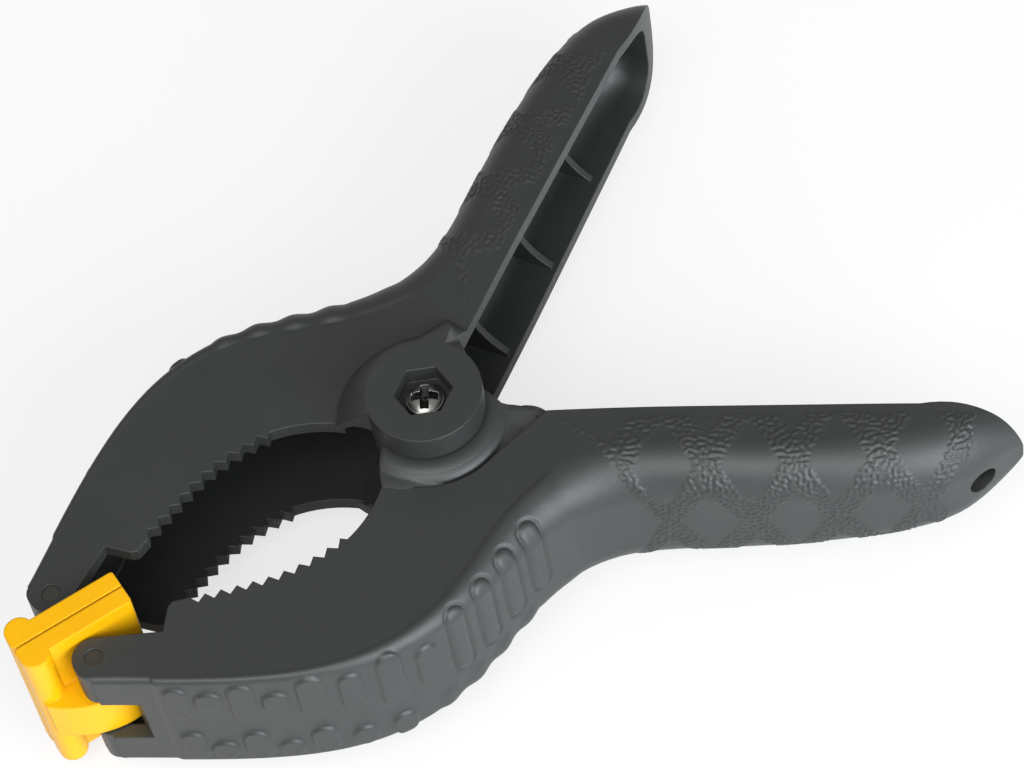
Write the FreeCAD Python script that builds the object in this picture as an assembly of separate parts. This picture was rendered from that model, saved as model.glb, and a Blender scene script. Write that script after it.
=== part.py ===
import FreeCAD, Part
import math
import os

# Spring clamp of the 150 mm size: two identical moulded arms on one pivot, swivelling pads.
# Millimetres. Each piece is drawn about the middle plane of the clamp with the pivot at the origin,
# +X towards the handles and +Y towards the upper arm, then lifted so that the lower hub face is at z = 0.

V = FreeCAD.Vector

# ---- driving sizes -------------------------------------------------------------------------
HUB_HALF = 19.5          # middle plane to the outer face of a hub cheek
PLATE_HALF = 12.8        # middle plane to the outside of the jaw plates
WALL = 2.5               # moulded wall
HANDLE_ANGLE = 33.7      # handle rim line to the X axis
RIM_OFFSET = 0.5         # rim line above the line through the pivot
RIM_SWELL = 1.4          # swell of the rear rim beside the hub

HUB_R = 9.2              # outer cheek, round part
SKIRT_R = 14.6           # foot of the cone that joins the outer cheek to the jaw plate
CHEEK_R = 12.9           # inner cheek
CHEEK_TOP = 14.2         # middle plane to the bearing face of the inner cheek
CHEEK_RIM = 11.9         # same, at the low outer edge of its shoulder
CHEEK_GAP = 0.3          # between inner and outer cheek
POCKET_GAP = 0.4         # round the rim of the inner cheek
BOSS_R = 5.2             # tube that carries the spring
BOSS_GAP = 0.3           # each tube stops this far from the middle plane

SCREW_D = 5.0
RUN_FIT = 0.05           # radial clearance on screw and pins
HEX_AF = 8.1             # recess for nut or screw head
HEX_DEPTH = 3.2
HEAD_D, HEAD_H = 7.0, 2.6
SCREW_IN_NUT = 2.4       # the screw ends inside the nut
NUT_AF, NUT_H = 8.0, 2.7

PIN_X, PIN_Y = -64.2, 6.85
PIN_D = 2.9
PIN_SHORT = 0.2          # pin end below the plate, each side
PRESS_GAP = 0.01         # radial allowance of pin and nut in their seats
EAR_R = 3.4
SWIVEL_STOP = 30.0       # tilt of the notch that the back of a pad can lean on

PAD_TIP_X, PAD_END_X = -74.0, -54.9
PAD_HALF = 15.3
PAD_GAP = 0.15           # pad face to the plane between the pads
PAD_BACK = 3.15          # back of the pad bar
BEAD_R = 2.35            # rounded lip along the tip of the pad
WEB_LOW, WEB_TOP = -5.0, 3.8  # faces of the swivel web
WEB_R = 15.2             # curve of the web edge
WEB_CX, WEB_CY = -62.2, -5.4
SLOT_HALF = 5.4
SLOT_END_X = -61.4
SLOT_ROUND = 5.2         # room for the web about the pin

TOOTH_PITCH = 2.5
TOOTH_DEPTH = 1.2
TEETH_STRAIGHT, TEETH_CURVED = 4, 6
TOOTH_START = (-47.1, 6.4)
TOOTH_ANGLE = 19.1
TOOTH_ARC_R = 31.6

RIB_AT = (27.5, 45.5, 63.5)   # cross ribs, distance from the pivot along the handle
RIB_T = 1.2
RIB_SCOOP_R = 11.3
RIB_SCOOP_N = -3.9

HANG_D = 5.0
HANG_S, HANG_N = 85.4, 7.9    # hang hole where it leaves the handle, along and across
HANG_TILT = 52.0              # hang hole axis to the handle line

WIRE_D = 2.4
COIL_GAP = 0.4           # coil inside to spring tube
COIL_TURNS = 4
COIL_PITCH = 2.46
LEG_LEN = 31.0
LEG_TURN = 5.4           # each leg leans in from the handle line

# The back of an arm is one smooth cubic curve from jaw tip to handle tip. Its poles carry the girth
# of the section too. Jaw and knuckle: x, y, half width, corner radius.
JAW_BACK = (
    (-72.3, 6.3, 12.8, 1.0), (-68.2, 9.3, 12.8, 1.0), (-58.9, 15.9, 12.8, 1.0), (-46.0, 25.1, 12.8, 1.0),
    (-31.0, 32.7, 12.8, 1.6), (-14.4, 32.9, 12.8, 2.8), (1.7, 26.1, 12.9, 5.3),
)
# handle: distance along the rim line, depth of the back, half width, corner radius
HANDLE_BACK = (
    (27.6, 12.7, 13.7, 7.0), (45.6, 13.8, 12.9, 6.8), (63.5, 13.5, 12.1, 6.9), (75.5, 12.2, 11.6, 7.4),
    (82.3, 10.3, 10.9, 7.4), (87.0, 6.7, 8.6, 6.2), (89.6, 4.0, 7.0, 4.2), (91.8, 2.5, 2.6, 1.6),
)
# the room in the handle closes in an arch before the solid tip
ROOM_TIP = ((80.6, 11.0, 11.4, 7.2), (84.6, 9.4, 9.6, 6.4), (85.2, 8.4, 5.0, 4.6))
BAR_DEPTH = 30.0         # reach of the bar in from its back, past every inner edge
STATIONS_PER_POLE = 2
ROOM_BACK = HANDLE_BACK[:4] + ROOM_TIP
TIP_LEN = 92.0


# ---- small helpers -------------------------------------------------------------------------
def p2(x, y):
    return V(x, y, 0)


def along(s, n):
    """Point at distance s along the upper handle line and n to its outer side."""
    a = math.radians(HANDLE_ANGLE)
    return V(s * math.cos(a) - n * math.sin(a), s * math.sin(a) + n * math.cos(a), 0)


def line(a, b):
    return Part.LineSegment(a, b).toShape()


def arc(a, b, c):
    return Part.Arc(a, b, c).toShape()


def prism(edges, z0, z1):
    """Solid between two heights over a closed outline."""
    face = Part.Face(Part.Wire(edges))
    face.translate(V(0, 0, z0))
    return face.extrude(V(0, 0, z1 - z0))


def polygon(points):
    return [line(points[i], points[(i + 1) % len(points)]) for i in range(len(points))]


def slab(points, z0, z1):
    return prism(polygon(points), z0, z1)


def rod(radius, z0, z1, x=0.0, y=0.0):
    return Part.makeCylinder(radius, z1 - z0, V(x, y, z0))


def turned(points):
    """Solid of revolution about Z over (radius, height) corners; a triple is a point on an arc."""
    edges = []
    for i, here in enumerate(points):
        after = points[(i + 1) % len(points)]
        if len(here) == 3:
            continue
        a = V(here[0], 0, here[1])
        if len(after) == 3:
            end = points[(i + 2) % len(points)]
            edges.append(arc(a, V(after[0], 0, after[1]), V(end[0], 0, end[1])))
        else:
            edges.append(line(a, V(after[0], 0, after[1])))
    face = Part.Face(Part.Wire(edges))
    return face.revolve(V(0, 0, 0), V(0, 0, 1), 360)


def hexagon(across_flats, z0, z1, turn):
    r = across_flats / 2 / math.cos(math.radians(30))
    pts = [V(r * math.cos(math.radians(turn + 60 * k)), r * math.sin(math.radians(turn + 60 * k)), 0)
           for k in range(6)]
    return slab(pts, z0, z1)


def lower(shape):
    """The same moulding turned over about the X axis."""
    other = shape.copy()
    other.rotate(V(0, 0, 0), V(1, 0, 0), 180)
    return other


# ---- arm -----------------------------------------------------------------------------------
def d_section(back, inward, depth, half, corner):
    """Section of the bar behind an arm: flat sides, flat back and two rounded corners."""
    def at(d, z):
        return back + inward * d + V(0, 0, z)
    k = corner * (1 - math.sqrt(0.5))
    return Part.Wire([
        line(at(depth, -half), at(corner, -half)),
        arc(at(corner, -half), at(k, -half + k), at(0, -half + corner)),
        line(at(0, -half + corner), at(0, half - corner)),
        arc(at(0, half - corner), at(k, half - k), at(corner, half)),
        line(at(corner, half), at(depth, half)),
        line(at(depth, half), at(depth, -half)),
    ])


def back_bar(inset, depth, handle_poles):
    """Bar swept behind jaw, knuckle and handle; the inset makes the room inside it."""
    rows = JAW_BACK + handle_poles
    spine, girth = Part.BSplineCurve(), Part.BSplineCurve()
    spine.buildFromPoles([p2(x, y) for x, y, _, _ in JAW_BACK] + [along(s, n) for s, n, _, _ in handle_poles])
    girth.buildFromPoles([V(half, corner, 0) for _, _, half, corner in rows])
    steps = (len(rows) - spine.Degree) * STATIONS_PER_POLE
    sections = []
    inward = V(0, -1, 0)
    for k in range(steps + 1):
        point, size = spine.value(k / steps), girth.value(k / steps)
        way = spine.tangent(k / steps)[0]
        square = math.degrees(math.atan2(way.y, way.x)) >= HANDLE_ANGLE and point.x > 0
        if square or inward == along(0, -1):
            inward = along(0, -1)
        else:
            inward = V(way.y, -way.x, 0)
        sections.append(d_section(point + inward * inset, inward, depth, size.x - inset,
                                  max(size.y - inset, 0.5)))
    return Part.makeLoft(sections, True, False)


def tooth_line():
    """Corner points of the saw teeth: a straight run, then an arc that falls away."""
    half = TOOTH_PITCH / 2
    total = TEETH_STRAIGHT + TEETH_CURVED
    a0 = math.radians(TOOTH_ANGLE)
    bend = p2(*TOOTH_START) + V(math.cos(a0), math.sin(a0), 0) * TEETH_STRAIGHT * TOOTH_PITCH
    centre = bend + V(math.sin(a0), -math.cos(a0), 0) * TOOTH_ARC_R
    points = []
    for k in range(2 * total + 1):
        run = k * half - TEETH_STRAIGHT * TOOTH_PITCH
        a = a0 - max(run, 0) / TOOTH_ARC_R
        out = V(-math.sin(a), math.cos(a), 0)
        foot = bend + V(math.cos(a0), math.sin(a0), 0) * run if run < 0 else centre + out * TOOTH_ARC_R
        points.append(foot + out * (TOOTH_DEPTH if k % 2 else 0))
    return points


def arm_plan():
    """Plan of the arm with its inner profile true and its outer side left wide."""
    pin = p2(PIN_X, PIN_Y)
    t = math.radians(SWIVEL_STOP)
    notch_run = V(math.cos(t), math.sin(t), 0)
    notch_in = pin + V(math.sin(t), -math.cos(t), 0) * EAR_R
    notch_corner = notch_in + notch_run * 10.6
    ramp = p2(-50.6, 5.9)
    teeth = tooth_line()
    throat = p2(-22.0, 11.9)
    hub = p2(-11.85, 6.05)
    pocket = CHEEK_R + POCKET_GAP
    hub = hub * (pocket / hub.Length)
    rim_hub = along(math.sqrt(pocket ** 2 - RIM_OFFSET ** 2), RIM_OFFSET)
    top = V(0, pocket, 0)
    rim_end = along(76.0, RIM_OFFSET)
    edges = [arc(notch_in, pin + V(-3.0, -1.6, 0), p2(PIN_X - 3.45, PIN_Y + 0.4)),
             arc(p2(PIN_X - 3.45, PIN_Y + 0.4), p2(PIN_X - 3.25, PIN_Y + 2.0), p2(-66.4, 10.04)),
             line(p2(-66.4, 10.04), p2(-80, 40)), line(p2(-80, 40), p2(60, 90)),
             line(p2(60, 90), along(98, 12)), line(along(98, 12), along(TIP_LEN, 2.7)),
             arc(along(TIP_LEN, 2.7), along(87.4, 0.95), rim_end),
             line(rim_end, rim_hub), arc(rim_hub, top, hub),
             arc(hub, p2(-16.8, 9.85), throat), line(throat, teeth[-1])]
    edges += [line(teeth[i + 1], teeth[i]) for i in range(len(teeth) - 2, -1, -1)]
    edges += [line(teeth[0], p2(-49.6, 5.5)), line(p2(-49.6, 5.5), ramp),
              line(ramp, notch_corner), line(notch_corner, notch_in)]
    return edges


def own_side():
    """Side of the hub that belongs to the upper arm, from its throat to its handle rim."""
    return [p2(-9.0, 1.3), p2(-12.9, 6.9), p2(-22, 20), p2(0, 40), p2(30, 34),
            along(18.6, RIM_OFFSET), along(13.3, RIM_OFFSET), p2(9.0, 1.9)]


def cheek_form(grow):
    """Round cheek with a falling shoulder; grown, it is the room the cheek needs to turn in."""
    top, rim, r = CHEEK_TOP + grow, CHEEK_RIM + grow, CHEEK_R + (POCKET_GAP if grow else 0)
    flat = HUB_R - 0.4 + grow
    base = PLATE_HALF - WALL - (6 if grow else 0)
    return turned([(0, base), (r, base), (r, rim),
                   (flat + 0.78 * (r - flat), rim + 0.62 * (top - rim), 0), (flat, top), (0, top)])


def outer_cheek():
    """Round head with the nut recess, carried by a cone and a flare towards the handle."""
    foot = PLATE_HALF - 1.2
    slope = (SKIRT_R - HUB_R) / (HUB_HALF - PLATE_HALF)
    skirt = Part.makeCone(HUB_R + slope * (HUB_HALF - foot), HUB_R, HUB_HALF - foot, V(0, 0, foot))
    up, down = V(0, 0, HUB_HALF), V(0, 0, foot)
    crest = [p2(-2, 8.9) + up, p2(9.9, 7.6) + up, along(9.0, RIM_OFFSET) + up, up]
    toe = [p2(-4, 14.0) + down, p2(12.0, 14.5) + down, along(17.8, RIM_OFFSET) + down, down]
    flare = Part.makeLoft([Part.Wire(polygon(crest)), Part.Wire(polygon(toe))], True, True)
    skirt = skirt.fuse(flare).common(slab(own_side(), foot, HUB_HALF))
    head = rod(HUB_R, CHEEK_TOP + CHEEK_GAP, HUB_HALF)
    return head.fuse(skirt).cut(cheek_form(CHEEK_GAP))


def inner_cheek():
    """Cheek that turns inside the other arm, with the tube that carries the spring."""
    inside = PLATE_HALF - WALL
    own = slab(own_side(), 0, HUB_HALF)
    disc = cheek_form(0).common(own.fuse(rod(HUB_R, 0, HUB_HALF)))
    web = rod(CHEEK_R + POCKET_GAP + 0.6, inside + 0.3, CHEEK_RIM).common(own)
    return disc.fuse([web, rod(BOSS_R, BOSS_GAP, inside + 0.5)])


def arm():
    """Upper arm: outer cheek in front, inner cheek with its spring tube behind."""
    far = HUB_HALF + 5
    body = back_bar(0, BAR_DEPTH, HANDLE_BACK).common(prism(arm_plan(), -far, far))
    body = body.cut(back_bar(WALL, BAR_DEPTH + 4, ROOM_BACK))
    body = body.fuse(outer_cheek())
    body = body.cut(hexagon(HEX_AF, HUB_HALF - HEX_DEPTH, far, HANDLE_ANGLE))
    body = body.fuse(inner_cheek().mirror(V(0, 0, 0), V(0, 0, 1)))

    # shallow ledge of the rear plate beside the inner cheek, and the screw bore
    body = body.fuse(rim_hump())
    ledge = slab([p2(2.3, 13.0), p2(15.2, 10.7), along(13.0, RIM_OFFSET - 2), p2(4, 8)], -far, -CHEEK_RIM)
    body = body.cut(ledge.cut(rod(CHEEK_R, -far, 0)))
    body = body.cut(rod(SCREW_D / 2 + RUN_FIT, -far, far))

    # ears: slot for the pad web and hole for its pin
    slot = slab([p2(-90, -10), p2(SLOT_END_X, -10), p2(SLOT_END_X, 30), p2(-90, 30)], -SLOT_HALF, SLOT_HALF)
    slot = slot.fuse(rod(SLOT_ROUND, -SLOT_HALF, SLOT_HALF, PIN_X, PIN_Y))
    body = body.cut(slot)
    body = body.cut(rod(PIN_D / 2 + PRESS_GAP, -far, far, PIN_X, PIN_Y))

    # cross ribs with a scooped edge, and the hang hole near the tip
    body = body.fuse([rib(s) for s in RIB_AT])
    hole = Part.makeCylinder(HANG_D / 2, 16, along(HANG_S, HANG_N) - hang_axis() * 8, hang_axis())
    return body.cut(hole).removeSplitter()


def rim_hump():
    """Swell of the rear plate past the rim line, beside the inner cheek."""
    foot, start = along(18.7, RIM_OFFSET), along(11.6, RIM_OFFSET)
    inner = along(16.0, RIM_OFFSET + 3)
    return prism([arc(start, along(14.4, RIM_OFFSET - RIM_SWELL), foot), line(foot, inner), line(inner, start)],
                 -PLATE_HALF, WALL - PLATE_HALF)


def hang_axis():
    a = math.radians(HANG_TILT)
    return along(math.cos(a), math.sin(a))


def rib(s):
    """Cross rib in the handle, trimmed to the channel and scooped for the spring leg."""
    a, b = along(s - RIB_T / 2, 1.4), along(s + RIB_T / 2, 1.4)
    plate = slab([a, b, along(s + RIB_T / 2, 16), along(s - RIB_T / 2, 16)], -PLATE_HALF, PLATE_HALF)
    scoop = Part.makeCylinder(RIB_SCOOP_R, 4 * RIB_T, along(s - 2 * RIB_T, RIB_SCOOP_N), along(1, 0))
    return plate.cut(scoop).common(HANDLE_CORE)


# ---- pads, pins, screw, nut and spring -----------------------------------------------------
def pad():
    """Lower pad: bar with a bead along its tip and a web that turns about the pin."""
    face_y, back_y = -PAD_GAP, -PAD_BACK
    bead_x = PAD_TIP_X + BEAD_R
    bead_y = back_y + 0.75
    tip = p2(PAD_TIP_X, bead_y)
    reach = math.sqrt(BEAD_R ** 2 - (back_y - bead_y) ** 2)
    bar = prism([
        line(p2(PAD_END_X, face_y), p2(PAD_TIP_X + 0.7, face_y)),
        arc(p2(PAD_TIP_X + 0.7, face_y), p2(PAD_TIP_X + 0.2, face_y - 0.25), p2(PAD_TIP_X, face_y - 0.8)),
        line(p2(PAD_TIP_X, face_y - 0.8), tip),
        arc(tip, p2(bead_x, bead_y - BEAD_R), p2(bead_x + reach, back_y)),
        line(p2(bead_x + reach, back_y), p2(PAD_END_X - 0.5, back_y)),
        arc(p2(PAD_END_X - 0.5, back_y), p2(PAD_END_X - 0.15, back_y + 0.15), p2(PAD_END_X, back_y + 0.5)),
        line(p2(PAD_END_X, back_y + 0.5), p2(PAD_END_X, face_y)),
    ], -PAD_HALF, PAD_HALF)
    centre = p2(WEB_CX, -WEB_CY)
    disc = rod(WEB_R, WEB_LOW, WEB_TOP, centre.x, centre.y)
    keep = slab([p2(PAD_TIP_X + 0.6, face_y - 1), p2(PAD_TIP_X + 0.6, -6), p2(-70, -14), p2(-61.0, -9.8),
                 p2(-58.2, back_y + 0.5), p2(-58.2, face_y - 1)], WEB_LOW, WEB_TOP)
    body = bar.fuse(disc.common(keep))
    body = body.cut(rod(PIN_D / 2 + RUN_FIT, -PAD_HALF, PAD_HALF, PIN_X, -PIN_Y))
    return body.removeSplitter()


def pin():
    return rod(PIN_D / 2, -PLATE_HALF + PIN_SHORT, PLATE_HALF - PIN_SHORT, PIN_X, -PIN_Y)


def pivot_screw():
    seat = HUB_HALF - HEX_DEPTH
    crown = HEAD_H * 0.45
    head = turned([(0, seat), (HEAD_D / 2, seat), (HEAD_D / 2, seat + HEAD_H - crown),
                   (HEAD_D / 2 * 0.72, seat + HEAD_H - crown * 0.28, 0), (0, seat + HEAD_H)])
    cross = Part.makeBox(3.4, 0.9, 1.6, V(-1.7, -0.45, seat + HEAD_H - 1.5))
    other = cross.copy()
    other.rotate(V(0, 0, 0), V(0, 0, 1), 90)
    shank = rod(SCREW_D / 2, -seat - SCREW_IN_NUT, seat)
    screw = head.fuse(shank).cut(cross.fuse(other))
    screw.rotate(V(0, 0, 0), V(0, 0, 1), HANDLE_ANGLE - 8)
    return screw.removeSplitter()


def pivot_nut():
    floor = -(HUB_HALF - HEX_DEPTH)
    nut = hexagon(NUT_AF, floor - NUT_H, floor, HANDLE_ANGLE * -1)
    cone = Part.makeCone(NUT_AF / 2 - 0.1 + NUT_H, NUT_AF / 2 - 0.1 + 2 * NUT_H, NUT_H, V(0, 0, floor - NUT_H))
    cap = Part.makeCone(NUT_AF / 2 + 0.1, NUT_AF / 2 + 0.1 + 2 * NUT_H, NUT_H, V(0, 0, floor - NUT_H))
    return nut.common(cap.fuse(cone.common(cap))).cut(rod(SCREW_D / 2 + PRESS_GAP, floor - NUT_H, floor))


def torsion_spring():
    """Coil about the spring tubes with one straight leg into each handle."""
    mean = BOSS_R + COIL_GAP + WIRE_D / 2
    rise = COIL_PITCH / (2 * math.pi * mean)
    start = HANDLE_ANGLE - LEG_TURN + 90
    sweep = COIL_TURNS * 360 - 2 * start
    height = sweep / 360 * COIL_PITCH
    helix = Part.makeLongHelix(COIL_PITCH, height, mean, 0, True)
    helix.rotate(V(0, 0, 0), V(0, 0, 1), -start)
    helix.translate(V(0, 0, -height / 2))
    a = math.radians(start)
    ends = []
    for side in (-1, 1):
        point = V(mean * math.cos(a), side * mean * math.sin(a), side * height / 2)
        ends.append((point, V(math.sin(a), -side * math.cos(a), side * rise).normalize()))
    ring = Part.Wire(Part.makeCircle(WIRE_D / 2, *ends[0]))
    coil = Part.Wire(helix.Edges).makePipeShell([ring], True, True)
    legs = [Part.makeCylinder(WIRE_D / 2, LEG_LEN, point, way) for point, way in ends]
    return coil.fuse(legs).removeSplitter()


# ---- place and write -----------------------------------------------------------------------
HANDLE_CORE = back_bar(WALL - 0.3, BAR_DEPTH, ROOM_BACK)
upper = arm()
low_pad = pad()
pieces = {
    "upper_arm": upper,
    "lower_arm": lower(upper),
    "lower_pad": low_pad,
    "upper_pad": lower(low_pad),
    "lower_pad_pin": pin(),
    "upper_pad_pin": lower(pin()),
    "pivot_screw": pivot_screw(),
    "pivot_nut": pivot_nut(),
    "torsion_spring": torsion_spring(),
}
os.makedirs("parts", exist_ok=True)
for name, shape in pieces.items():
    shape = shape.copy()
    shape.translate(V(0, 0, HUB_HALF))
    if shape.ShapeType == "Compound" and len(shape.Solids) == 1:
        shape = shape.Solids[0]
    box = shape.BoundBox
    print(name, shape.ShapeType, len(shape.Solids), shape.isValid(), round(shape.Volume, 1),
          [round(v, 2) for v in (box.XMin, box.XMax, box.YMin, box.YMax, box.ZMin, box.ZMax)])
    shape.exportStep("parts/%s.step" % name)
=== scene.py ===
# %% [markdown]
# # Spring clamp
# Two moulded arms cross at one pivot. A torsion spring inside the hub pushes the handles apart and
# the jaws together, and each jaw ends in a swivelling pad. The engineered pieces arrive as a fixed
# frame, in metres. This notebook gives them their finishes and models what is too fine for them:
# the grip pads and crackle on the arms, the cheeks' round shoulders, the drawn wire of the spring and
# the recess in the screw's head.

# %% load the frame
import math

import bmesh
import bpy
import numpy as np
from mathutils import Matrix, Vector


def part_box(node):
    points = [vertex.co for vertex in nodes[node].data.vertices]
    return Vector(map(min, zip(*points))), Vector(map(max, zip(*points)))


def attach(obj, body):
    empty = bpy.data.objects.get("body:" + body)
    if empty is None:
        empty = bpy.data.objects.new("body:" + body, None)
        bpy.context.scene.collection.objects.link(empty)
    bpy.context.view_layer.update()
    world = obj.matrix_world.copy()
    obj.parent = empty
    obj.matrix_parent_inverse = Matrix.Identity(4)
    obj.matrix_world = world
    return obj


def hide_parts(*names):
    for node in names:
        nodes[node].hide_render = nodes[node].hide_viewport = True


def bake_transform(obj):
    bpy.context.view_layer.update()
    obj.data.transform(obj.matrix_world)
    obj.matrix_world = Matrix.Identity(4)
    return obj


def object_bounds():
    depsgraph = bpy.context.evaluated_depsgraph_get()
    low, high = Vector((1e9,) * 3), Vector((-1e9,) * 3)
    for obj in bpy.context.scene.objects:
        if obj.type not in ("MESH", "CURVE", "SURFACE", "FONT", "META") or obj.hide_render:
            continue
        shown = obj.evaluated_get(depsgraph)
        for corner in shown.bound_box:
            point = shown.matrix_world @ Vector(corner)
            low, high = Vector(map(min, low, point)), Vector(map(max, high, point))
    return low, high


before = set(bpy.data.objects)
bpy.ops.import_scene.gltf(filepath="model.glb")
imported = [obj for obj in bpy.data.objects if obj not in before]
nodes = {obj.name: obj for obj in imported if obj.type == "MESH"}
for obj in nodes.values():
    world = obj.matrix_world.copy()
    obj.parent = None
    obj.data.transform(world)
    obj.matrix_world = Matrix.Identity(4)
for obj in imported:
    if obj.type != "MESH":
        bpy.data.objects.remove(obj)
cad_low, cad_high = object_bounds()
MM = 0.001
print("nodes:", sorted(nodes))

# %% [markdown]
# ## Where things are
# The pivot is the Z axis of the frame. Its middle height is half the height of the hub, and both
# arms are mirror partners about that level: one is the other turned over about the X axis. So every
# skin is worked out once, for the upper arm, and turned over for the lower one.

# %% levels
MID = (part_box("upper_arm")[1][2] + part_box("lower_arm")[0][2]) / 2
print("middle height, mm:", round(MID / MM, 2))


def turned_over(points):
    """The same points for the other arm: y and z change sign about the pivot's middle."""
    return points * np.array([1.0, -1.0, -1.0]) + np.array([0.0, 0.0, 2 * MID])


# %% [markdown]
# ## Finishes
# A finish here is a short chain of nodes: noise in Object coordinates decides small changes of
# colour and roughness, and a Bump node gives the grain that the mould leaves. Scales are given in
# millimetres and turned into the noise's frequency, so each grain has a real size.

# %% node helpers
def new_finish(name, colour, roughness):
    """A material with a Principled shader; returns the material, its tree and the shader."""
    material = bpy.data.materials.new(name)
    material.use_nodes = True
    tree = material.node_tree
    shader = tree.nodes["Principled BSDF"]
    shader.inputs["Base Color"].default_value = (*colour, 1)
    shader.inputs["Roughness"].default_value = roughness
    return material, tree, shader


def object_noise(tree, size_mm, detail=3.0, rough=0.55):
    """Noise whose lumps are about size_mm across."""
    where = tree.nodes.new("ShaderNodeTexCoord")
    noise = tree.nodes.new("ShaderNodeTexNoise")
    noise.inputs["Scale"].default_value = 1 / (size_mm * MM)
    noise.inputs["Detail"].default_value = detail
    noise.inputs["Roughness"].default_value = rough
    tree.links.new(where.outputs["Object"], noise.inputs["Vector"])
    return noise.outputs["Fac"]


def ranged(tree, value, low, high):
    """The 0 to 1 value stretched between low and high."""
    node = tree.nodes.new("ShaderNodeMapRange")
    node.inputs["To Min"].default_value = low
    node.inputs["To Max"].default_value = high
    tree.links.new(value, node.inputs["Value"])
    return node.outputs["Result"]


def mixed_colour(tree, value, a, b):
    """Colour a where the value is 0 and b where it is 1."""
    # a mix node has a set of sockets for each kind of value; those for colour are 6, 7 and out 2
    node = tree.nodes.new("ShaderNodeMix")
    node.data_type = "RGBA"
    node.inputs[6].default_value = (*a, 1)
    node.inputs[7].default_value = (*b, 1)
    tree.links.new(value, node.inputs[0])
    return node.outputs[2]


def soft_edges(tree, radius_mm):
    """Rounds every sharp edge in the shading by a small radius, as a mould does."""
    bevel = tree.nodes.new("ShaderNodeBevel")
    bevel.samples = 6
    bevel.inputs["Radius"].default_value = radius_mm * MM
    return bevel.outputs["Normal"]


def bumped(tree, shader, height, distance_mm, strength=1.0, under=None):
    """Adds a bump of the given depth to the shader, over the normal from below it."""
    bump = tree.nodes.new("ShaderNodeBump")
    bump.inputs["Distance"].default_value = distance_mm * MM
    bump.inputs["Strength"].default_value = strength
    tree.links.new(height, bump.inputs["Height"])
    if under is not None:
        tree.links.new(under, bump.inputs["Normal"])
    tree.links.new(bump.outputs["Normal"], shader.inputs["Normal"])
    return bump.outputs["Normal"]


# %% [markdown]
# ### Arm plastic
# Glass-filled nylon from a spark-eroded mould is a dark green grey that shines softly. It has a
# fine, sandy grain about a fifth of a millimetre across, and slow clouds of lighter grey where the
# fibres come near the surface.

# %% arm plastic
def arm_plastic():
    """Satin dark plastic: slow clouds of colour, patches of gloss and a sandy grain."""
    material, tree, shader = new_finish("arm_plastic", (0.024, 0.026, 0.024), 0.46)
    cloud = object_noise(tree, 9.0, 2.0)
    tree.links.new(mixed_colour(tree, cloud, (0.021, 0.0235, 0.0215), (0.028, 0.0305, 0.028)),
                   shader.inputs["Base Color"])
    tree.links.new(ranged(tree, object_noise(tree, 1.6), 0.40, 0.50), shader.inputs["Roughness"])
    shader.inputs["Specular IOR Level"].default_value = 0.6
    bumped(tree, shader, object_noise(tree, 0.26, 2.0), 0.03, 1.0, soft_edges(tree, 0.35))
    return material


# %% [markdown]
# ### Pad plastic
# The pads are a softer, glossier plastic in a strong yellow orange. Light enters it a little, so
# thin edges glow; subsurface scattering of about a millimetre gives that.

# %% pad plastic
def pad_plastic():
    """Yellow-orange plastic with a tinted gloss and a little light inside."""
    material, tree, shader = new_finish("pad_plastic", (0.82, 0.42, 0.003), 0.36)
    cloud = object_noise(tree, 6.0, 2.0)
    tree.links.new(mixed_colour(tree, cloud, (0.79, 0.395, 0.002), (0.85, 0.445, 0.004)),
                   shader.inputs["Base Color"])
    shader.inputs["Specular IOR Level"].default_value = 0.4
    shader.inputs["Specular Tint"].default_value = (1.0, 0.86, 0.45, 1)
    shader.inputs["Subsurface Weight"].default_value = 0.2
    shader.inputs["Subsurface Radius"].default_value = (1.0, 0.45, 0.1)
    shader.inputs["Subsurface Scale"].default_value = 1.0 * MM
    bumped(tree, shader, object_noise(tree, 0.9, 2.0), 0.012, 0.6, soft_edges(tree, 0.4))
    return material


# %% [markdown]
# ### Metals
# The screw is plated and polished by its die, the spring is drawn wire with a slight grey bloom,
# and the pins are dark, blunt ends of the same kind of wire. A near-black steel paints the shade
# deep in the screw's cross recess.

# %% metals
def metal(name, colour, roughness, grain_mm, depth_mm):
    """Bare metal whose roughness and fine relief vary over grains of the given size."""
    material, tree, shader = new_finish(name, colour, roughness)
    shader.inputs["Metallic"].default_value = 1.0
    tree.links.new(ranged(tree, object_noise(tree, grain_mm * 4), roughness * 0.8, roughness * 1.3),
                   shader.inputs["Roughness"])
    bumped(tree, shader, object_noise(tree, grain_mm, 2.0), depth_mm, 0.7, soft_edges(tree, 0.12))
    return material


ARM = arm_plastic()
PAD = pad_plastic()
SCREW = metal("screw_steel", (0.36, 0.35, 0.33), 0.28, 0.3, 0.006)
NUT = metal("nut_steel", (0.50, 0.50, 0.50), 0.30, 0.3, 0.006)
WIRE = metal("spring_steel", (0.33, 0.33, 0.34), 0.36, 0.25, 0.006)
# near-black steel: painted shade for the faces deep in the screw's cross recess
RECESS_PAINTED_SHADE = metal("screw_recess_painted_shade", (0.035, 0.034, 0.033), 0.5, 0.3, 0.01)
PIN = metal("pin_steel", (0.10, 0.098, 0.088), 0.5, 0.3, 0.015)


def dress(node_name, material):
    """Gives a node of the frame its finish."""
    piece = nodes[node_name]
    piece.data.materials.clear()
    piece.data.materials.append(material)
    print(node_name, "wears", material.name)


for side in ("upper", "lower"):
    dress(side + "_arm", ARM)
    dress(side + "_pad", PAD)
    dress(side + "_pad_pin", PIN)
dress("pivot_screw", SCREW)
dress("pivot_nut", NUT)
dress("torsion_spring", WIRE)

# %% [markdown]
# ## The back of an arm as a surface
# Hand and fingers press on the back of an arm, so that is where the mould is patterned. The relief
# could be a bump in the material, but then its outline would stay smooth, and on this clamp the
# scallops show along the edge. So each pattern is a thin skin of real geometry that lies on the
# moulded back. To lay it there, the back is worked out as a surface of two parameters: u, the
# distance along the back from the jaw tip, and v, the distance round the section from its middle.

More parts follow.
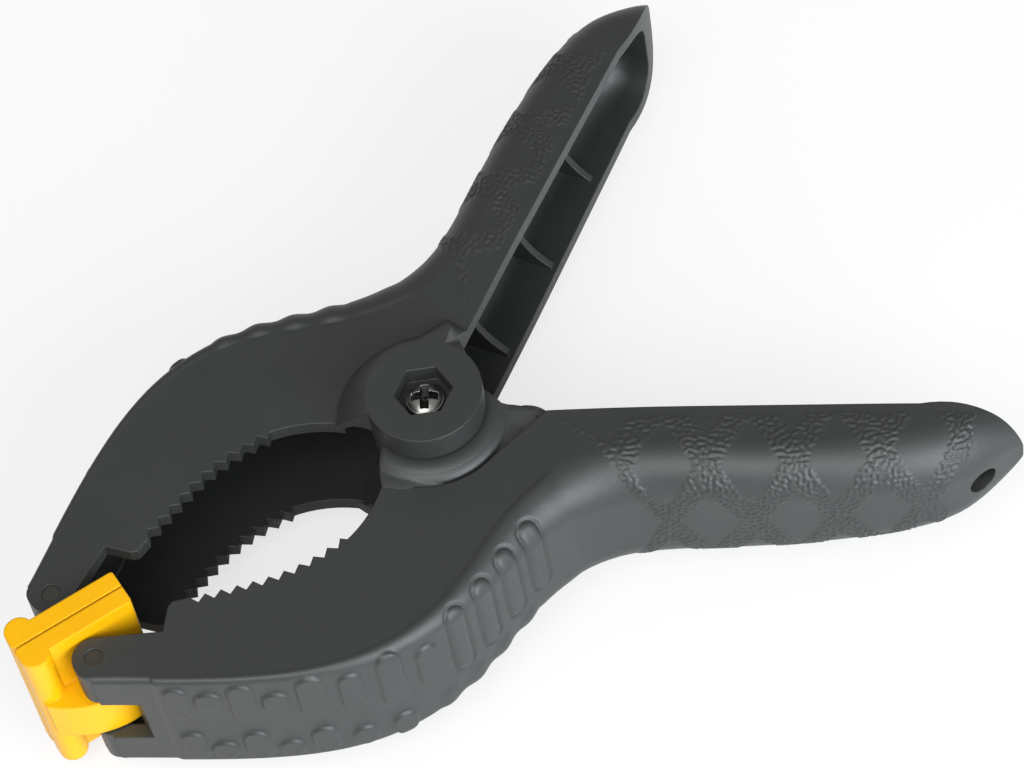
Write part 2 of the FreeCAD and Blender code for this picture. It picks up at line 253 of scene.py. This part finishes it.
# %% back line
HANDLE_ANGLE = math.radians(33.7)
RIM_OFFSET = 0.5
LINE_SAMPLES = 4000
# jaw and knuckle: x, y, half width, corner radius
JAW_BACK = np.array([
    (-72.3, 6.3, 12.8, 1.0), (-68.2, 9.3, 12.8, 1.0), (-58.9, 15.9, 12.8, 1.0), (-46.0, 25.1, 12.8, 1.0),
    (-31.0, 32.7, 12.8, 1.6), (-14.4, 32.9, 12.8, 2.8), (1.7, 26.1, 12.9, 5.3)])
# handle: distance along the rim line, depth of the back, half width, corner radius
HANDLE_BACK = np.array([
    (27.6, 12.7, 13.7, 7.0), (45.6, 13.8, 12.9, 6.8), (63.5, 13.5, 12.1, 6.9), (75.5, 12.2, 11.6, 7.4),
    (82.3, 10.3, 10.9, 7.4), (87.0, 6.7, 8.6, 6.2), (89.6, 4.0, 7.0, 4.2), (91.8, 2.5, 2.6, 1.6)])


def cubic(poles, t):
    """Clamped cubic B-spline at each t from 0 to 1.

    Every basis function starts as 1 on its own knot span; three times over, neighbours are blended
    by how far t has run into their spans. The curve is the poles weighted by the result.
    """
    knots = np.concatenate([np.zeros(3), np.linspace(0, 1, len(poles) - 2), np.ones(3)])
    t = np.minimum(t, 1 - 1e-9)[:, None]
    basis = ((knots[:-1] <= t) & (t < knots[1:])).astype(float)
    for degree in (1, 2, 3):
        span = knots[degree:] - knots[:-degree]
        slope = np.divide(t - knots[:-degree], span, out=np.zeros((len(t), len(span))), where=span > 0)
        basis = slope[:, :-1] * basis[:, :-1] + (span[1:] > 0) * (1 - slope[:, 1:]) * basis[:, 1:]
    return basis @ poles


turn = np.array([[math.cos(HANDLE_ANGLE), math.sin(HANDLE_ANGLE)],
                 [-math.sin(HANDLE_ANGLE), math.cos(HANDLE_ANGLE)]])
handle_poles = np.hstack([HANDLE_BACK[:, :2] @ turn, HANDLE_BACK[:, 2:]])
LINE = cubic(np.vstack([JAW_BACK, handle_poles]), np.linspace(0, 1, LINE_SAMPLES))
steps = np.diff(LINE[:, :2], axis=0)
RUN = np.concatenate([[0], np.cumsum(np.hypot(steps[:, 0], steps[:, 1]))])
slopes = np.arctan2(np.gradient(LINE[:, 1]), np.gradient(LINE[:, 0]))
# from where the line first runs along the handle, every section stands square to the rim line
on_handle = np.cumsum((slopes >= HANDLE_ANGLE) & (LINE[:, 0] > 0)) > 0
SLOPE = np.where(on_handle, HANDLE_ANGLE, slopes)
print("length of the back, mm:", round(RUN[-1], 1))

# %% [markdown]
# ### Places on the back
# A section of the arm is a flat back, a quarter circle at each side and a flat plate down to the rim.
# Where on it a point lies follows from v alone, so patterns can be drawn in u and v as on paper.

# %% back surface
def section(u):
    """x, y, half width, corner radius and slope of the back at distance u from the jaw tip."""
    return [np.interp(u, RUN, column) for column in (*LINE.T, SLOPE)]


def half_girth(u, on_plate):
    """v of the plate's line that lies on_plate mm past the rounded corner."""
    half, corner = section(u)[2:4]
    return half - corner + corner * math.pi / 2 + on_plate


def rim_girth(u, margin):
    """v of the line that lies margin mm short of the rim of the plate."""
    x, y, half, corner, slope = section(u)
    across = y * math.cos(HANDLE_ANGLE) - x * math.sin(HANDLE_ANGLE) - RIM_OFFSET
    depth = across / np.cos(slope - HANDLE_ANGLE)
    return half - corner + corner * math.pi / 2 + depth - corner - margin


def on_back(u, v, lift):
    """Points of the upper arm's back in metres, lift mm above it.

    Out from its middle the section is flat, then a quarter circle, then flat down the plate. So a
    point is the back line moved inwards by the depth of that profile and sideways by its width, and
    then lifted along the profile's normal.
    """
    x, y, half, corner, slope = section(u)
    flat, side, reach = half - corner, np.sign(v), np.abs(v)
    bend = np.clip((reach - flat) / corner, 0, math.pi / 2)
    down = np.maximum(reach - flat - corner * math.pi / 2, 0)
    depth = corner * (1 - np.cos(bend)) + down - lift * np.cos(bend)
    width = np.minimum(reach, flat) + (corner + lift) * np.sin(bend)
    return np.stack([x + depth * np.sin(slope), y - depth * np.cos(slope), MID / MM + side * width],
                    axis=-1) * MM


# %% [markdown]
# ### From grid to mesh
# Every skin is a grid of points, so its faces are the grid's cells, numbered with whole-array
# arithmetic. A sheet alone would be open along its border. So the grid gets a coarser floor inside
# the wall of the arm, one floor column for every few skin columns, and four narrow walls that join
# the two. The result is a closed solid, and its floor and walls are never seen.

# %% mesh helpers
SHARP_ANGLE = math.radians(48)


def new_piece(name, points, faces, material, body):
    """A smooth closed mesh in the scene, faces outward, that rides on a body if one is named."""
    mesh = bpy.data.meshes.new(name)
    mesh.from_pydata(points.reshape(-1, 3).tolist(), [], faces)
    shell = bmesh.new()
    shell.from_mesh(mesh)
    bmesh.ops.recalc_face_normals(shell, faces=shell.faces)
    volume = shell.calc_volume(signed=True)
    shell.to_mesh(mesh)
    shell.free()
    mesh.polygons.foreach_set("use_smooth", np.ones(len(mesh.polygons), bool))
    mesh.set_sharp_from_angle(angle=SHARP_ANGLE)
    mesh.materials.append(material)
    mesh.update()
    piece = bpy.data.objects.new(name, mesh)
    bpy.context.scene.collection.objects.link(piece)
    if body:
        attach(piece, body)
    print(name, "faces:", len(mesh.polygons), "size, mm:", np.round(np.array(piece.dimensions) / MM, 1),
          "volume inside, mm3:", round(volume / MM ** 3, 1))
    return piece


def cells(rows, columns, first=0):
    """Quads between neighbouring rows and columns of a grid whose numbers start at first."""
    number = first + np.arange(rows * columns).reshape(rows, columns)
    return np.stack([number[:-1, :-1], number[1:, :-1], number[1:, 1:], number[:-1, 1:]],
                    axis=-1).reshape(-1, 4)


FLOOR_STEP = 10
SKIN_DEPTH, BORDER_SINK = 0.5, 0.05


def closed_skin(top, floor):
    """Faces of a skin over its floor; the floor holds every FLOOR_STEP-th column of the skin."""
    rows, columns = top.shape[:2]
    number = np.arange(rows * columns).reshape(rows, columns)
    low = rows * columns + np.arange(rows * floor.shape[1]).reshape(rows, -1)
    sides = []
    for column, low_column, way in ((0, 0, 1), (-1, -1, -1)):
        a, b = number[:, column], low[:, low_column]
        sides.append(np.stack([a[1:], a[:-1], b[:-1], b[1:]], axis=-1)[:, ::way])
    ends = []
    for row, way in ((0, 1), (-1, -1)):
        for k in range(floor.shape[1] - 1):
            upper_run = number[row, k * FLOOR_STEP:(k + 1) * FLOOR_STEP + 1].tolist()
            ends.append((upper_run + [low[row, k + 1], low[row, k]])[::way])
    under = cells(rows, floor.shape[1], rows * columns)[:, ::-1]
    faces = np.vstack([cells(rows, columns), under] + sides)
    return np.vstack([top.reshape(-1, 3), floor.reshape(-1, 3)]), faces.tolist() + ends


def skin_pair(name, u, v, lift):
    """The skin on the upper arm and the same one turned over on the lower arm."""
    top = on_back(u, v, lift)
    top[..., 1] = np.minimum(top[..., 1], cad_high[1])
    floor = on_back(u, v, np.full(u.shape, -SKIN_DEPTH))[:, ::FLOOR_STEP]
    points, faces = closed_skin(top, floor)
    new_piece("upper_" + name, points, faces, ARM, "upper_arm_body")
    new_piece("lower_" + name, turned_over(points), faces, ARM, "lower_arm_body")


def eased(x):
    """Smooth step: 0 below 0, 1 above 1, and a soft S between."""
    x = np.clip(x, 0, 1)
    return x * x * (3 - 2 * x)


def grid(rows, columns):
    """Two arrays from 0 to 1 down the rows and from -1 to 1 across the columns."""
    return np.meshgrid(np.linspace(0, 1, rows), np.linspace(-1, 1, columns), indexing="ij")


# %% [markdown]
# ### Grip pads on the jaw and knuckle
# The jaw's back carries two rows of raised pads with round ends, a long one and a short one in
# turn. Over the knuckle, where the fingers pull, four long rolls lie in sunk outlines, and the far
# corner is scalloped between them. A pad is a capsule: the distance to its middle line, less its
# radius, is negative inside, and a smooth step of that distance gives the raised shape.

# %% grip pads
# each pad: u of its middle line, v of its two ends, width
NEAR_PADS = [(19.1, -11.0, -1.8, 3.8), (24.0, -9.5, -4.2, 4.2), (29.2, -11.6, -1.0, 4.0),
             (34.2, -8.6, -2.5, 4.0), (39.8, -11.9, 0.0, 4.3), (45.8, -10.5, -0.2, 3.6),
             (52.1, -12.1, 2.5, 4.0), (58.2, -9.0, 2.0, 3.7)]
FAR_PADS = [(19.5, 3.2, 11.2, 3.8), (24.2, 6.2, 11.0, 4.0), (29.4, 3.2, 11.4, 4.0),
            (34.5, 6.6, 11.2, 3.8), (39.9, 3.8, 11.2, 4.0), (46.0, 6.2, 11.2, 3.8),
            (52.4, 6.4, 12.0, 4.0)]
ROLLS = [(64.5, -12.5, 4.8, 3.7), (70.5, -12.5, 5.0, 3.7),
         (76.5, -12.8, 4.8, 3.7), (82.2, -13.0, 4.2, 3.7)]
PAD_HEIGHT, PAD_EDGE = 0.5, 0.55
ROLL_HEIGHT, ROLL_EDGE = 0.24, 1.2
OUTLINE_HALF, OUTLINE_DEPTH = 0.26, 0.30
SCALLOP_FIRST, SCALLOP_PITCH, SCALLOPS = 60.4, 6.0, 4
SCALLOP_HEIGHT, SCALLOP_SINK, SCALLOP_SIDE, SCALLOP_FADE = 0.42, 0.12, 6.0, 2.5
JAW_START, JAW_END, JAW_LIFT, JAW_ON_PLATE = 15.4, 91.0, 0.26, 0.5
# over this many mm the skin rises from its border: at the jaw's tip, at the handle, along the plates
TIP_FADE, HANDLE_FADE, PLATE_FADE = 1.5, 4, 1.7
JAW_GRID = (420, 171)


def capsule(u, v, pad):
    """Distance of each point to the outline of a pad, negative inside it."""
    place, start, end, width = pad
    nearest = np.clip(v, start + width / 2, end - width / 2)
    return np.hypot(u - place, v - nearest) - width / 2


def jaw_relief(u, v):
    """Height of the pattern at each point: all pads, then all rolls, then the scallops, added up.

    A pad rises over PAD_EDGE across its outline. A roll rises from its outline inwards, and a narrow
    bell curve along the outline is taken off. The scallops are a cosine along u, on one corner only.
    """
    relief = np.full(u.shape, JAW_LIFT)
    for pad in NEAR_PADS + FAR_PADS:
        relief += PAD_HEIGHT * eased(0.5 - capsule(u, v, pad) / PAD_EDGE)
    for pad in ROLLS:
        gap = capsule(u, v, pad)
        relief += ROLL_HEIGHT * eased(-gap / ROLL_EDGE)
        relief -= OUTLINE_DEPTH * np.exp(-(gap / OUTLINE_HALF) ** 2)
    from_first = u - SCALLOP_FIRST
    wave = np.cos(2 * math.pi * from_first / SCALLOP_PITCH) * 0.5 + 0.5
    to_last = SCALLOP_PITCH * (SCALLOPS - 0.5) - from_first
    inside = eased((from_first + SCALLOP_PITCH / 2) / 2) * eased(0.5 + to_last / 2)
    at_side = eased((v - SCALLOP_SIDE) / SCALLOP_FADE)
    relief += (SCALLOP_HEIGHT * wave - SCALLOP_SINK) * inside * at_side
    return relief


s, t = grid(*JAW_GRID)
u = JAW_START + s * (JAW_END - JAW_START)
side = half_girth(u, JAW_ON_PLATE)
v = t * side
to_border = np.minimum((u - JAW_START) / TIP_FADE, (JAW_END - u) / HANDLE_FADE)
to_border = np.minimum(to_border, (side - np.abs(v)) / PLATE_FADE)
lift = -BORDER_SINK + (jaw_relief(u, v) + BORDER_SINK) * eased(to_border)
skin_pair("jaw_grip", u, v, lift)

# %% [markdown]
# ### Crackle on the handle
# The handle has a spark-eroded crackle, little worms of plastic that stand up between smooth
# lozenges. Random bumps would give dots. Worms come from waves of much the same length that run in
# every direction: added up, their crests meander at an even spacing. The crests are cut off
# flat, kept out of the lozenges and ended along slanting lines.

# %% handle crackle
WORM_PITCH, WORM_HEIGHT, WAVES = (0.72, 1.25), 0.17, 70
CREST_SHARE, CREST_SOFT, SEED = 0.62, 0.9, 7
# lozenges: spacing along u and v, u of the first, half sizes, how pointed they are
LOZENGE_U, LOZENGE_V, LOZENGE_AT = 13.3, 25.4, 104.5
LOZENGE_HALF_U, LOZENGE_HALF_V, LOZENGE_POWER = 4.6, 7.6, 1.15
LOZENGE_RIM, LOZENGE_SOFT, CREST_REACH = 1.12, 0.2, 0.24
# the crackle's two slanting ends: u at the middle of the back, and its change for each mm of v
START_U, START_SLANT = 102.7, 0.42
END_U, END_SLANT = 150.1, 0.29
CRACKLE_LIFT, CRACKLE_SINK, CRACKLE_FADE, WORM_FADE, RIM_MARGIN = 0.06, 0.04, 2.0, 1.2, 0.9
# about how long the patch is and half its girth: they turn shares of the grid into mm
CRACKLE_GRID, CRACKLE_LENGTH, CRACKLE_HALF = (301, 261), 48, 22


def worms(u, v):
    """Sum of waves in seeded directions, as 0 in the narrow valleys and 1 on the broad crests."""
    draw = np.random.default_rng(SEED)
    total = np.zeros(u.shape)
    for _ in range(WAVES):
        way = draw.uniform(0, math.pi)
        phase = draw.uniform(0, 2 * math.pi)
        pitch = draw.uniform(*WORM_PITCH)
        total += np.cos(2 * math.pi / pitch * (u * math.cos(way) + v * math.sin(way)) + phase)
    return eased(CREST_SHARE + total / math.sqrt(WAVES / 2) / CREST_SOFT)


def lozenges(u, v):
    """Distance from the nearest lozenge's middle in its own half sizes: under 1 is inside."""
    nearest = np.full(u.shape, np.inf)
    for odd in (0, 1):
        du = (u - LOZENGE_AT + LOZENGE_U * (0.5 + odd / 2)) % LOZENGE_U - LOZENGE_U / 2
        dv = (v + LOZENGE_V * odd / 2) % LOZENGE_V - LOZENGE_V / 2
        along = (np.abs(du) / LOZENGE_HALF_U) ** LOZENGE_POWER
        across = (np.abs(dv) / LOZENGE_HALF_V) ** LOZENGE_POWER
        nearest = np.minimum(nearest, along + across)
    return nearest


# the ends lie at a u that depends on v, and the rims at a v that depends on u: from a first guess of
# 20 mm, three rounds settle both
s, t = grid(*CRACKLE_GRID)
v = t * 20.0
for _ in range(3):
    start = START_U - START_SLANT * np.abs(v)
    u = start + s * (END_U - END_SLANT * v - start)
    v = t * rim_girth(u, RIM_MARGIN)
border = np.minimum(np.minimum(s, 1 - s) * CRACKLE_LENGTH, (1 - np.abs(t)) * CRACKLE_HALF)
crests = worms(u, v)
outside = eased((lozenges(u, v) - LOZENGE_RIM + CREST_REACH * crests) / LOZENGE_SOFT)
standing = eased(border / WORM_FADE) * outside
lift = -CRACKLE_SINK + (CRACKLE_LIFT + CRACKLE_SINK) * eased(border / CRACKLE_FADE)
lift += WORM_HEIGHT * crests * standing
skin_pair("handle_grip", u, v, lift)

# %% [markdown]
# ### Shoulder of the inner cheek
# Beside the hub each arm has a cheek that turns inside the other arm. It falls away in a round
# shoulder, and towards the handle the shoulder widens into a swell that rises a little past the
# rim. It could be a loft, but a sheet in polar form is simpler: the radius runs from under the
# hub to an outer line. The height is the higher of two rolls, the quarter ellipse of the cheek and
# a low crown beyond it, and the two run into each other softly.

# %% cheek shoulder
HUB_EDGE, WALL_INSIDE, SKIN = 8.9, 10.5, 0.07
FORM_FLAT, FORM_EDGE, FORM_TOP, FORM_RIM = 8.8, 12.9, 14.2, 11.9
CROWN, CROWN_FROM, VALLEY = 0.3, 12.0, 0.03
EDGE_ROUND, EDGE_DROP = 0.7, 0.8
# the throat's border: its angle at one radius, and how much it turns back for each mm beyond
THROAT_ANGLE, THROAT_RADIUS, THROAT_TURN = 171.0, 9.1, 3.6
# outer line: angle, radius and height above the middle
LINE_ANGLES = np.radians([30, 34, 44, 57, 69, 85, 106, 120, 135, 152, 172])
LINE_RADII = np.array([18.7, 18.7, 16.5, 14.4, 13.4, 13.2, 13.2, 13.4, 14.0, 14.6, 14.8])
LINE_HEIGHTS = np.array([12.86, 12.86, 12.3, 12.05, 12.0, 12.0, 12.1, 12.5, 12.86, 12.86, 12.86])
# border at the swell: radius, and how far past the rim line it stands
RIM_SWELL_AT = np.array([8.0, 9.3, 10.4, 11.8, 13.2, 14.6, 16.3, 18.0, 19.0])
RIM_SWELL = np.array([0.0, -0.5, -1.05, -1.3, -1.2, -0.95, -0.6, 0.1, 0.45])


def shoulder(s, t):
    """Points of the lower arm's shoulder and of its floor, in metres, over radius s and sweep t.

    The sweep starts at the throat, on the straight border of the cheek, and ends at the swell.
    The height is a soft maximum of cheek and band: half their sum, and half the root of their
    difference squared with a small number added. The swell's end rolls down over a small round.
    """
    # radius and angle depend on each other: from a first guess of 5 mm, three rounds settle both
    radius = HUB_EDGE + s * 5
    for _ in range(3):
        throat = np.radians(THROAT_ANGLE - (radius - THROAT_RADIUS) * THROAT_TURN)
        swell = HANDLE_ANGLE + np.interp(radius, RIM_SWELL_AT, RIM_SWELL) / radius
        angle = throat + (t + 1) / 2 * (swell - throat)
        radius = HUB_EDGE + s * (np.interp(angle, LINE_ANGLES, LINE_RADII) - HUB_EDGE)
    low = np.interp(angle, LINE_ANGLES, LINE_HEIGHTS)
    across = np.clip((radius - FORM_FLAT) / (FORM_EDGE - FORM_FLAT), 0, 1)
    cheek = FORM_RIM + (FORM_TOP - FORM_RIM) * np.sqrt(1 - across ** 2) + SKIN
    outer = np.clip((radius - CROWN_FROM) / (radius[-1] - CROWN_FROM), 0, 1)
    band = low + CROWN * (1 - outer ** 2)
    height = (cheek + band + np.sqrt((cheek - band) ** 2 + VALLEY)) / 2
    to_end = (1 - t) / 2 * (throat - swell) * radius
    past = 1 - np.clip(to_end / EDGE_ROUND, 0, 1)
    height -= EDGE_ROUND * (1 - np.sqrt(1 - past ** 2)) * EDGE_DROP
    flat = np.stack([radius * np.cos(angle), -radius * np.sin(angle)], axis=-1)
    levels = [height, np.full(radius.shape, WALL_INSIDE)]
    return [np.dstack([flat, level + MID / MM]) * MM for level in levels]


s, t = np.meshgrid(np.sin(np.linspace(0, math.pi / 2, 41)), np.linspace(-1, 1, 181), indexing="ij")
top, floor = shoulder(s, t)
points, faces = closed_skin(top, floor[:, ::FLOOR_STEP])
new_piece("lower_cheek_shoulder", points, faces, ARM, "lower_arm_body")
new_piece("upper_cheek_shoulder", turned_over(points), faces, ARM, "upper_arm_body")

# %% [markdown]
# ## Spring
# The spring is one length of drawn wire: a straight leg in the lower handle, between three and four
# turns about the hub tubes, and a straight leg in the upper handle. A curve with a round bevel would
# do, but it can't follow both arms. Here the wire is a tube of points along its path; it rides on
# neither arm and keeps its shape when the clamp opens.

# %% wire path
WIRE_D, COIL_RADIUS, COIL_PITCH, COIL_TURNS = 2.4, 6.8, 2.46, 4
LEG_LEN, LEG_FROM, LEG_LEAN = 31.0, 0.4, math.radians(5.4)
COIL_POINTS, LEG_POINTS, WIRE_SIDES = 300, 40, 28
WIRE_END, WIRE_END_SHARE = 0.25, 0.75
LEG_START = HANDLE_ANGLE - LEG_LEAN + math.pi / 2
COIL_SWEEP = COIL_TURNS * 2 * math.pi - 2 * LEG_START
COIL_HEIGHT = COIL_SWEEP / (2 * math.pi) * COIL_PITCH


def with_ends(rows, count):
    """The rows with the first and the last repeated count times more."""
    return np.vstack([np.tile(rows[0], (count, 1)), rows, np.tile(rows[-1], (count, 1))])


def wire_path():
    """Middle line of the wire, with its direction and the outward normal at each point.

    Round the coil the angle falls evenly while the height rises evenly. Each leg goes on straight
    from the end of the coil, along the helix's own direction there.
    """
    fall = np.linspace(0, COIL_SWEEP, COIL_POINTS)
    angle = -LEG_START - fall
    coil = np.stack([COIL_RADIUS * np.cos(angle), COIL_RADIUS * np.sin(angle),
                     (fall / COIL_SWEEP - 0.5) * COIL_HEIGHT], axis=-1)
    way = np.stack([np.sin(angle) * COIL_RADIUS, -np.cos(angle) * COIL_RADIUS,
                    np.full(COIL_POINTS, COIL_HEIGHT / COIL_SWEEP)], axis=-1)
    way /= np.linalg.norm(way, axis=1)[:, None]
    out = np.stack([np.cos(angle), np.sin(angle), np.zeros(COIL_POINTS)], axis=-1)
    reach = np.linspace(LEG_LEN, LEG_FROM, LEG_POINTS)[:, None]
    line = np.vstack([coil[0] - way[0] * reach, coil, coil[-1] + way[-1] * reach[::-1]])
    return line, with_ends(way, LEG_POINTS), with_ends(out, LEG_POINTS)


def tube(line, way, out, radius, sides):
    """Rings of points round a path: at each point a circle across it, radius wide."""
    turn = np.linspace(0, 2 * math.pi, sides, endpoint=False)
    third = np.cross(way, out)
    ring = out[:, None] * np.cos(turn)[:, None] + third[:, None] * np.sin(turn)[:, None]
    return line[:, None] + ring * np.asarray(radius).reshape(-1, 1, 1)


def ring_faces(rings, sides):
    """Faces of a closed tube: quads round it and one flat cap at each end."""
    number = np.arange(rings * sides).reshape(rings, sides)
    beside = np.roll(number, -1, axis=1)
    quads = np.stack([number[:-1], beside[:-1], beside[1:], number[1:]], axis=-1).reshape(-1, 4)
    return quads.tolist() + [number[0, ::-1].tolist(), number[-1].tolist()]


line, way, out = wire_path()
# one narrower ring a little beyond each end chamfers the cut wire
line, way, out = (with_ends(rows, 1) for rows in (line, way, out))
line[0] -= way[0] * WIRE_END
line[-1] += way[-1] * WIRE_END
radius = np.full(len(line), WIRE_D / 2)
radius[[0, -1]] *= WIRE_END_SHARE
wire = tube(line + [0, 0, MID / MM], way, out, radius, WIRE_SIDES) * MM
spring = new_piece("spring_wire", wire, ring_faces(*wire.shape[:2]), WIRE, None)
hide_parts("torsion_spring")
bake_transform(spring)

# %% [markdown]
# ## Screw
# The screw's head is a low dome with a cross recess that was struck into it: four wings that get
# shallower outwards, and a deep middle. Cutting it out of a dome with a Boolean gives
# ragged faces. The whole screw is one surface of revolution instead, and the recess is a depth that
# is taken off its top, worked out for every point from how far it lies along and across a wing.

# %% screw
SCREW_D, SCREW_CHAMFER, SCREW_TURN = 5.0, 0.5, math.radians(58)
HEAD_D, HEAD_HEIGHT, HEAD_EDGE, HEAD_DOME, HEAD_ROUND = 6.2, 2.6, 1.0, 1.05, 0.25
WING_REACH, WING_HALF, WING_SOFT, WING_POWER, RECESS_DEPTH = 2.15, 0.62, 0.16, 0.6, 1.7
# the last number: recess faces deeper than this many mm get the near-black steel as painted shade
DOME_ROWS, SCREW_SIDES, PAINTED_SHADE_DEPTH = 90, 144, 0.25
screw_low, screw_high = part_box("pivot_screw")
seat = screw_high[2] / MM - HEAD_HEIGHT


def screw_profile():
    """Radius and height from the top of the dome down to the end of the shank."""
    # the dome starts a little off its axis, where a small flat cap closes it
    across = np.linspace(0.02, 1, DOME_ROWS)
    brow = HEAD_D / 2 - HEAD_ROUND
    dome = np.stack([across * brow, HEAD_EDGE + HEAD_DOME * (1 - across ** 2)], axis=-1)
    turn = np.linspace(0, math.pi / 2, 8)
    edge = np.stack([brow + HEAD_ROUND * np.sin(turn), HEAD_EDGE - HEAD_ROUND * (1 - np.cos(turn))],
                    axis=-1)
    end = screw_low[2] / MM - seat
    shank = SCREW_D / 2
    below = np.array([[HEAD_D / 2, 0.0], [shank, -0.001], [shank, end + SCREW_CHAMFER],
                      [shank - SCREW_CHAMFER, end]])
    return np.vstack([dome, edge[1:], below])


def cross_recess(x, y):
    """Depth of the recess: the deeper of two wings at right angles, each a ridge upside down."""
    depth = np.zeros(x.shape)
    for along, across in ((x, y), (y, x)):
        along, across = np.abs(along), np.abs(across)
        floor = RECESS_DEPTH * np.clip(1 - along / WING_REACH, 0, 1) ** WING_POWER
        depth = np.maximum(depth, floor * eased((WING_HALF - across) / WING_SOFT + 0.5))
    return depth


profile = screw_profile()
turns = np.linspace(0, 2 * math.pi, SCREW_SIDES, endpoint=False)
x, y = profile[:, :1] * np.cos(turns), profile[:, :1] * np.sin(turns)
on_top = (np.arange(len(profile)) < DOME_ROWS)[:, None]
recess = cross_recess(x, y) * on_top
c, d = math.cos(SCREW_TURN), math.sin(SCREW_TURN)
head = np.stack([x * c - y * d, x * d + y * c, profile[:, 1:] - recess + seat], axis=-1)[::-1] * MM
screw = new_piece("cross_recess_screw", head, ring_faces(*head.shape[:2]), SCREW,
                  "lower_arm_body")
# the faces deep in the recess get a near-black steel: painted shade where little light reaches; the
# faces come in rows, from the shank's end up
painted_shade_rows = (recess > PAINTED_SHADE_DEPTH)[::-1]
screw.data.materials.append(RECESS_PAINTED_SHADE)
in_recess = np.zeros(len(screw.data.polygons), np.int32)
in_recess[:painted_shade_rows[1:].size] = painted_shade_rows[1:].ravel()
screw.data.polygons.foreach_set("material_index", in_recess)
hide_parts("pivot_screw")

# %% [markdown]
# ## Stage, camera and light
# A pale floor carries the clamp's soft shadow and is white where the camera sees it directly. The
# light is that of a white table in a light tent: broad, from above and from the front, so that the
# dark plastic shows its form by soft reflections alone.

# %% floor and world
FLOOR_SIZE, FLOOR_DROP, FLOOR_WHITE = 4.0, 0.0002, 0.72
WORLD_LIGHT = 0.46


def floor_finish():
    """Matt white; the camera sees it mixed with plain white, and all other light sees it as it is."""
    material, tree, shader = new_finish("pale_floor", (0.86, 0.86, 0.86), 0.9)
    shine = tree.nodes.new("ShaderNodeEmission")
    path = tree.nodes.new("ShaderNodeLightPath")
    seen = tree.nodes.new("ShaderNodeMath")
    blend = tree.nodes.new("ShaderNodeMixShader")
    seen.operation = "MULTIPLY"
    seen.inputs[1].default_value = FLOOR_WHITE
    shine.inputs["Strength"].default_value = 1.0
    tree.links.new(path.outputs["Is Camera Ray"], seen.inputs[0])
    tree.links.new(seen.outputs[0], blend.inputs[0])
    tree.links.new(shader.outputs[0], blend.inputs[1])
    tree.links.new(shine.outputs[0], blend.inputs[2])
    tree.links.new(blend.outputs[0], tree.nodes["Material Output"].inputs["Surface"])
    return material


corners = np.array([[-1, -1, 0], [1, -1, 0], [1, 1, 0], [-1, 1, 0]]) * FLOOR_SIZE / 2
floor_mesh = bpy.data.meshes.new("floor")
floor_mesh.from_pydata((corners - [0, 0, FLOOR_DROP]).tolist(), [], [(0, 1, 2, 3)])
floor = bpy.data.objects.new("floor", floor_mesh)
floor_mesh.materials.append(floor_finish())
bpy.context.scene.collection.objects.link(floor)

world = bpy.data.worlds.new("light_tent")
world.use_nodes = True
bpy.context.scene.world = world
tree = world.node_tree
tree.nodes.clear()
path = tree.nodes.new("ShaderNodeLightPath")
camera_or_glass = tree.nodes.new("ShaderNodeMath")
camera_or_glass.operation = "MAXIMUM"
tent, backdrop = tree.nodes.new("ShaderNodeBackground"), tree.nodes.new("ShaderNodeBackground")
tent.inputs["Strength"].default_value = WORLD_LIGHT
backdrop.inputs["Strength"].default_value = 1.0
blend = tree.nodes.new("ShaderNodeMixShader")
out = tree.nodes.new("ShaderNodeOutputWorld")
tree.links.new(path.outputs["Is Camera Ray"], camera_or_glass.inputs[0])
tree.links.new(path.outputs["Is Transmission Ray"], camera_or_glass.inputs[1])
tree.links.new(camera_or_glass.outputs[0], blend.inputs[0])
tree.links.new(tent.outputs[0], blend.inputs[1])
tree.links.new(backdrop.outputs[0], blend.inputs[2])
tree.links.new(blend.outputs[0], out.inputs["Surface"])
print("floor, m:", FLOOR_SIZE, "tent light:", WORLD_LIGHT)

# %% [markdown]
# ### Lamps
# Two soft boxes shape the clamp inside the even tent. The roof panel gives the flat tops their tone,
# and the large cool panel in front draws the long highlight along the jaw's back and the handle.

# %% lamps
def soft_box(name, at, aim, size, watts, tint=(1, 1, 1)):
    """A square area lamp at a point, facing another point."""
    data = bpy.data.lights.new(name, "AREA")
    data.shape, data.size, data.energy, data.color = "SQUARE", size, watts, tint
    lamp = bpy.data.objects.new(name, data)
    way = Vector(aim) - Vector(at)
    lamp.rotation_mode = "QUATERNION"
    lamp.rotation_quaternion = way.to_track_quat("-Z", "Y")
    lamp.location = at
    bpy.context.scene.collection.objects.link(lamp)
    print(name, "lamp:", watts, "W,", size, "m wide")


CENTRE = (0.0, 0.0, MID)
soft_box("roof", (-0.35, -0.30, 0.70), CENTRE, 0.5, 3.7)
soft_box("front", (0.15, -0.80, 0.36), CENTRE, 0.75, 11.5, (0.88, 0.92, 1.0))

# %% [markdown]
# ### Camera
# The camera stands 650 mm away behind a long lens, high over the lower arm, and leans a little to
# one side. It looks at a point just beyond the pivot, on the way to the handles.

# %% camera
CAMERA_AT = Vector((-119.4, -323.4, 563.6)) * MM
LOOK_AT = Vector((16.7, 4.65, 19.5)) * MM
LENS, LEAN = 143.14, math.radians(-11.523)
camera_data = bpy.data.cameras.new("camera")
camera_data.lens, camera_data.sensor_width = LENS, 36
camera_data.clip_start, camera_data.clip_end = 0.01, 20
camera = bpy.data.objects.new("camera", camera_data)
level = (LOOK_AT - CAMERA_AT).to_track_quat("-Z", "Y").to_matrix()
camera.rotation_mode = "QUATERNION"
camera.rotation_quaternion = (level @ Matrix.Rotation(LEAN, 3, "Z")).to_quaternion()
camera.location = CAMERA_AT
bpy.context.scene.collection.objects.link(camera)
bpy.context.scene.camera = camera
bpy.context.scene.view_settings.view_transform = "Standard"
print("camera is", round((LOOK_AT - CAMERA_AT).length / MM), "mm away, lens", LENS, "mm")
